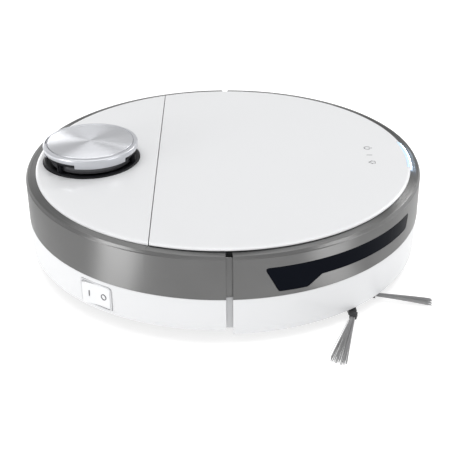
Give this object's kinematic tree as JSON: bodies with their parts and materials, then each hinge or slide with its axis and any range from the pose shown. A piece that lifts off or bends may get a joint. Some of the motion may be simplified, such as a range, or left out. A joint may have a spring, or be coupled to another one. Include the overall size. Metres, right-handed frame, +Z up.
{
  "type": "robot vacuum",
  "caption": "Round floor-cleaning robot with a lidar turret, sprung bumper, hinged lid over a lift-out dust bin, side brush, main brush, driven wheels and caster.",
  "frame": {"origin": "on the floor, under the middle of the outline that holds the body and the side brush; the round body's own middle is 14.8 mm towards +Y of it", "axes": "+Z up, +X the way the robot drives, so its right side and its side brush are at -Y"},
  "size_m": [0.3498, 0.3798, 0.0998],
  "materials": {
    "white_shell": "glossy white moulded plastic",
    "silver_band": "satin silver metallic paint",
    "silver_plastic": "satin silver",
    "spun_disc": "spun brushed",
    "black_gloss": "polished, passes infrared",
    "black_plastic": "fine textured",
    "grey_plastic": "fine textured",
    "smoked_plastic": "smoked, polished",
    "white_light": "frosted light pipe",
    "rubber": "moulded tread",
    "bristle": "nylon bristles",
    "fin_rubber": "soft rubber",
    "steel": "plain",
    "filter_paper": "pleated paper",
    "circuit": "solder mask",
    "battery_sleeve": "metal cells in a shrink sleeve"
  },
  "bodies": {
    "chassis": {"base_pan": "black_plastic", "upper_deck": "grey_plastic", "bin_well": "grey_plastic", "rear_skirt": "white_shell", "rear_band": "silver_band", "rear_cover": "white_shell", "lid_hinge_pin": "steel", "bumper_spring_right": "steel", "bumper_spring_left": "steel", "turret_base": "black_plastic", "turret_window": "smoked_plastic", "turret_cap": "silver_plastic", "turret_disc": "spun_disc", "lidar_motor": "black_plastic", "brush_housing": "black_plastic", "brush_gearbox": "grey_plastic", "brush_guard": "grey_plastic", "side_brush_gearbox": "grey_plastic", "wheel_spring_right": "steel", "wheel_spring_left": "steel", "caster_socket": "grey_plastic", "fan_housing": "black_plastic", "battery_pack": "battery_sleeve", "battery_door": "black_plastic", "switch_frame": "white_shell", "main_board": "circuit", "charge_contact_right": "steel", "charge_contact_left": "steel"},
    "bumper": {"bumper_band": "silver_band", "bumper_skirt": "white_shell", "bumper_window_right": "black_gloss", "bumper_window_left": "black_gloss"},
    "lid": {"lid": "white_shell", "status_light": "white_light", "touch_board": "circuit"},
    "bin": {"dust_bin": "smoked_plastic", "bin_cover": "grey_plastic", "filter_frame": "black_plastic", "filter_pleats": "filter_paper"},
    "bin_handle": {"bin_handle": "black_plastic"},
    "lidar": {"lidar_rotor": "black_plastic"},
    "main_brush": {"brush_core": "black_plastic", "brush_fins": "fin_rubber"},
    "latch_right": {"guard_latch_right": "black_plastic"},
    "latch_left": {"guard_latch_left": "black_plastic"},
    "side_brush": {"side_brush_hub": "black_plastic", "side_brush_tuft_1": "bristle", "side_brush_tuft_2": "bristle", "side_brush_tuft_3": "bristle"},
    "suspension_right": {"wheel_arm_right": "grey_plastic"},
    "suspension_left": {"wheel_arm_left": "grey_plastic"},
    "wheel_right": {"wheel_hub_right": "grey_plastic", "wheel_tyre_right": "rubber"},
    "wheel_left": {"wheel_hub_left": "grey_plastic", "wheel_tyre_left": "rubber"},
    "caster_swivel": {"caster_fork": "black_plastic", "caster_axle": "steel"},
    "caster_wheel": {"caster_wheel": "rubber"},
    "fan": {"fan_impeller": "grey_plastic"},
    "rocker": {"power_rocker": "white_shell"}
  },
  "joints": [
    {"name": "bumper_press", "type": "slide", "parent": "chassis", "child": "bumper", "axis": [-1, 0, 0], "range_m": [0, 0.004], "stiffness_N_per_m": 600, "springref_m": -0.002, "deforming": ["bumper_spring_right", "bumper_spring_left"]},
    {"name": "lid_hinge", "type": "hinge", "parent": "chassis", "child": "lid", "pos_m": [-0.0566, 0.0148, 0.0814], "axis": [0, -1, 0], "range_deg": [0, 80]},
    {"name": "bin_lift", "type": "slide", "parent": "chassis", "child": "bin", "axis": [0, 0, 1], "range_m": [0, 0.0635]},
    {"name": "bin_handle_fold", "type": "hinge", "parent": "bin", "child": "bin_handle", "pos_m": [0.008, 0.0148, 0.077], "axis": [0, -1, 0], "range_deg": [0, 85]},
    {"name": "lidar_spin", "type": "hinge", "parent": "chassis", "child": "lidar", "pos_m": [-0.118, 0.0148, 0.09], "axis": [0, 0, 1], "continuous": true},
    {"name": "main_brush_spin", "type": "hinge", "parent": "chassis", "child": "main_brush", "pos_m": [-0.069, 0.0148, 0.023], "axis": [0, 1, 0], "continuous": true},
    {"name": "guard_latch_right_press", "type": "slide", "parent": "chassis", "child": "latch_right", "axis": [1, 0, 0], "range_m": [0, 0.0025], "stiffness_N_per_m": 400, "springref_m": -0.002},
    {"name": "guard_latch_left_press", "type": "slide", "parent": "chassis", "child": "latch_left", "axis": [1, 0, 0], "range_m": [0, 0.0025], "stiffness_N_per_m": 400, "springref_m": -0.002},
    {"name": "side_brush_spin", "type": "hinge", "parent": "chassis", "child": "side_brush", "pos_m": [0.1015, -0.1072, 0.006], "axis": [0, 0, 1], "continuous": true},
    {"name": "wheel_right_drop", "type": "hinge", "parent": "chassis", "child": "suspension_right", "pos_m": [0.038, -0.0808, 0.032], "axis": [0, -1, 0], "range_deg": [0, 16], "stiffness_Nm_per_rad": 0.4, "springref_deg": 28.65, "deforming": ["wheel_spring_right"]},
    {"name": "wheel_right_spin", "type": "hinge", "parent": "suspension_right", "child": "wheel_right", "pos_m": [-0.005, -0.0977, 0.035], "axis": [0, 1, 0], "continuous": true},
    {"name": "wheel_left_drop", "type": "hinge", "parent": "chassis", "child": "suspension_left", "pos_m": [0.038, 0.1104, 0.032], "axis": [0, -1, 0], "range_deg": [0, 16], "stiffness_Nm_per_rad": 0.4, "springref_deg": 28.65, "deforming": ["wheel_spring_left"]},
    {"name": "wheel_left_spin", "type": "hinge", "parent": "suspension_left", "child": "wheel_left", "pos_m": [-0.005, 0.1273, 0.035], "axis": [0, 1, 0], "continuous": true},
    {"name": "caster_swivel", "type": "hinge", "parent": "chassis", "child": "caster_swivel", "pos_m": [0.128, 0.0148, 0.02], "axis": [0, 0, 1], "continuous": true},
    {"name": "caster_roll", "type": "hinge", "parent": "caster_swivel", "child": "caster_wheel", "pos_m": [0.1245, 0.0148, 0.01], "axis": [0, 1, 0], "continuous": true},
    {"name": "fan_spin", "type": "hinge", "parent": "chassis", "child": "fan", "pos_m": [0.018, 0.0578, 0.042], "axis": [0, 1, 0], "continuous": true},
    {"name": "power_rocker_flip", "type": "hinge", "parent": "chassis", "child": "rocker", "pos_m": [-0.10076, -0.12187, 0.027], "axis": [0, 0, 1], "range_deg": [-14, 0]}
  ],
  "couplings": [
    {"joint": "bin_lift", "follows": "lid_hinge", "m_per_rad": 0.045},
    {"joint": "bin_handle_fold", "follows": "lid_hinge", "ratio": 1}
  ]
}
